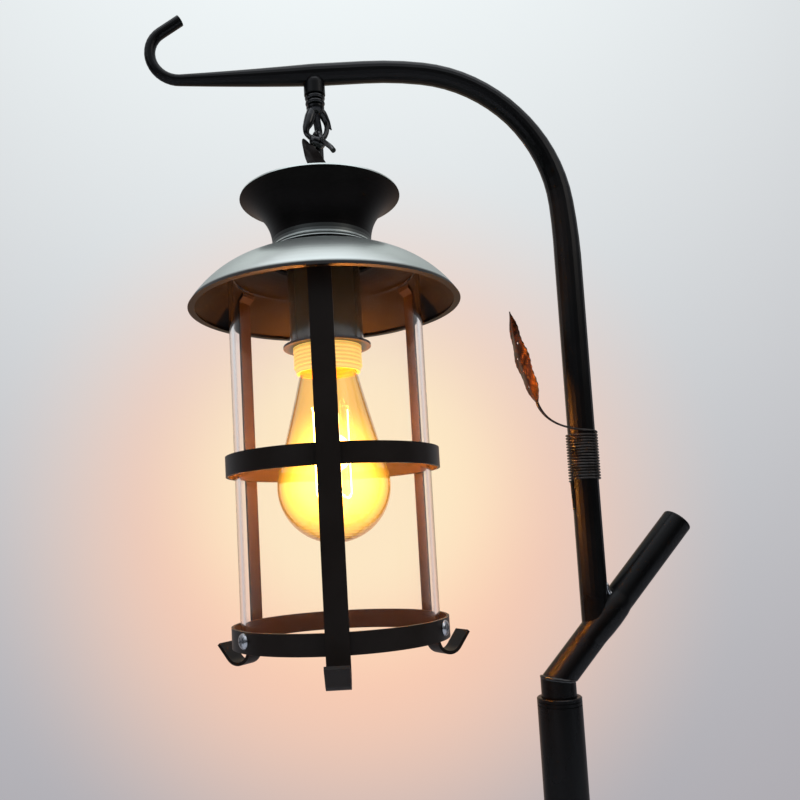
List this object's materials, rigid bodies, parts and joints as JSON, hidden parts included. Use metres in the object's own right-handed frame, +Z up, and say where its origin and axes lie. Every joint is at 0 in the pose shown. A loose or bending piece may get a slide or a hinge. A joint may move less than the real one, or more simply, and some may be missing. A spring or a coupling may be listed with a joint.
{
  "type": "lantern floor lamp",
  "caption": "Floor lamp: round weighted base, slim pole with a branch-shaped side tube, crook arm, and a hanging lantern with dome roof, flared chimney, glass cylinder and filament bulb",
  "frame": {"origin": "centre of the base's underside, on the floor", "axes": "+Z up along the pole; the crook reaches towards -X; the cord inlet faces +Y"},
  "size_m": [0.3604, 0.282, 1.5507],
  "materials": {
    "base_pad": "foam rubber",
    "base_weight": "rough cast",
    "black_coat": "satin near-black powder coat",
    "zinc_steel": "zinc plated",
    "cord_inlet": "moulded rubber",
    "lead_jacket": "black flexible insulation",
    "leaf_wire": "dark annealed wire",
    "leaf_sheet": "dark heat-browned sheet",
    "roof_coat": "satin near-black coat on turned and bent steel",
    "holder_brass": "plain",
    "cage_coat": "dark brown-black coat",
    "glass_tube": "clear",
    "lampholder_cup": "glossy dark",
    "lampholder_body": "glazed ceramic",
    "lampholder_skirt": "translucent moulded, lit from inside",
    "shade_ring": "satin",
    "bulb_glass": "clear, warm",
    "bulb_metal": "plain",
    "bulb_insulator": "black glass",
    "bulb_stem": "clear",
    "filament_hooks": "drawn wire",
    "bulb_filament": "glowing strand"
  },
  "bodies": {
    "stand": {"base_pad": "base_pad", "base_weight": "base_weight", "base_cover": "black_coat", "base_washer": "zinc_steel", "base_nut": "zinc_steel", "base_stud": "zinc_steel", "cord_inlet": "cord_inlet", "pole_foot": "black_coat", "pole_lower": "black_coat", "coupler_lower": "black_coat", "pole_middle": "black_coat", "coupler_upper": "black_coat", "pole_upper": "black_coat", "pole_cap": "black_coat", "neck_stub": "black_coat", "branch_tube": "black_coat", "branch_plug": "black_coat", "arm_tube": "black_coat", "hanger_sleeve": "black_coat", "supply_lead": "lead_jacket", "leaf_wire": "leaf_wire", "leaf_blade": "leaf_sheet"},
    "eye": {"hanger_eye": "roof_coat"},
    "link": {"hook_link": "roof_coat", "hook_leaf": "leaf_sheet", "lead_upper": "lead_jacket"},
    "lantern": {"top_loop": "roof_coat", "nipple": "holder_brass", "nipple_nuts": "holder_brass", "crown_washer": "roof_coat", "chimney": "roof_coat", "dome": "roof_coat", "strap_front": "cage_coat", "strap_left": "cage_coat", "strap_right": "cage_coat", "middle_ring": "cage_coat", "bottom_ring": "cage_coat", "glass_tube": "glass_tube", "glass_screws": "zinc_steel", "lampholder_cup": "lampholder_cup", "lampholder_body": "lampholder_body", "lampholder_skirt": "lampholder_skirt", "shade_ring": "shade_ring", "screw_shell": "holder_brass", "centre_contact": "holder_brass", "lantern_lead": "lead_jacket", "lead_lower": "lead_jacket"},
    "bulb": {"bulb_glass": "bulb_glass", "bulb_cap": "bulb_metal", "bulb_insulator": "bulb_insulator", "bulb_contact": "bulb_metal", "bulb_stem": "bulb_stem", "filament_hooks": "filament_hooks", "bulb_filament": "bulb_filament"}
  },
  "joints": [
    {"name": "eye_swivel", "type": "hinge", "parent": "stand", "child": "eye", "pos_m": [-0.12358, 0, 1.50495], "axis": [0, 0, 1], "range_deg": [-30, 30]},
    {"name": "hook_swing", "type": "hinge", "parent": "eye", "child": "link", "pos_m": [-0.12358, 0, 1.47875], "axis": [0.8988, 0.4384, 0], "range_deg": [-8, 8], "deforming": ["lead_upper"]},
    {"name": "lantern_swing", "type": "hinge", "parent": "link", "child": "lantern", "pos_m": [-0.12358, 0, 1.43535], "axis": [0.4384, -0.8988, 0], "range_deg": [-8, 8], "deforming": ["lead_lower"]},
    {"name": "bulb_screw", "type": "hinge", "parent": "lantern", "child": "bulb", "pos_m": [-0.12358, 0, 1.38275], "axis": [0, 0, 1], "range_deg": [-1080, 0]}
  ]
}
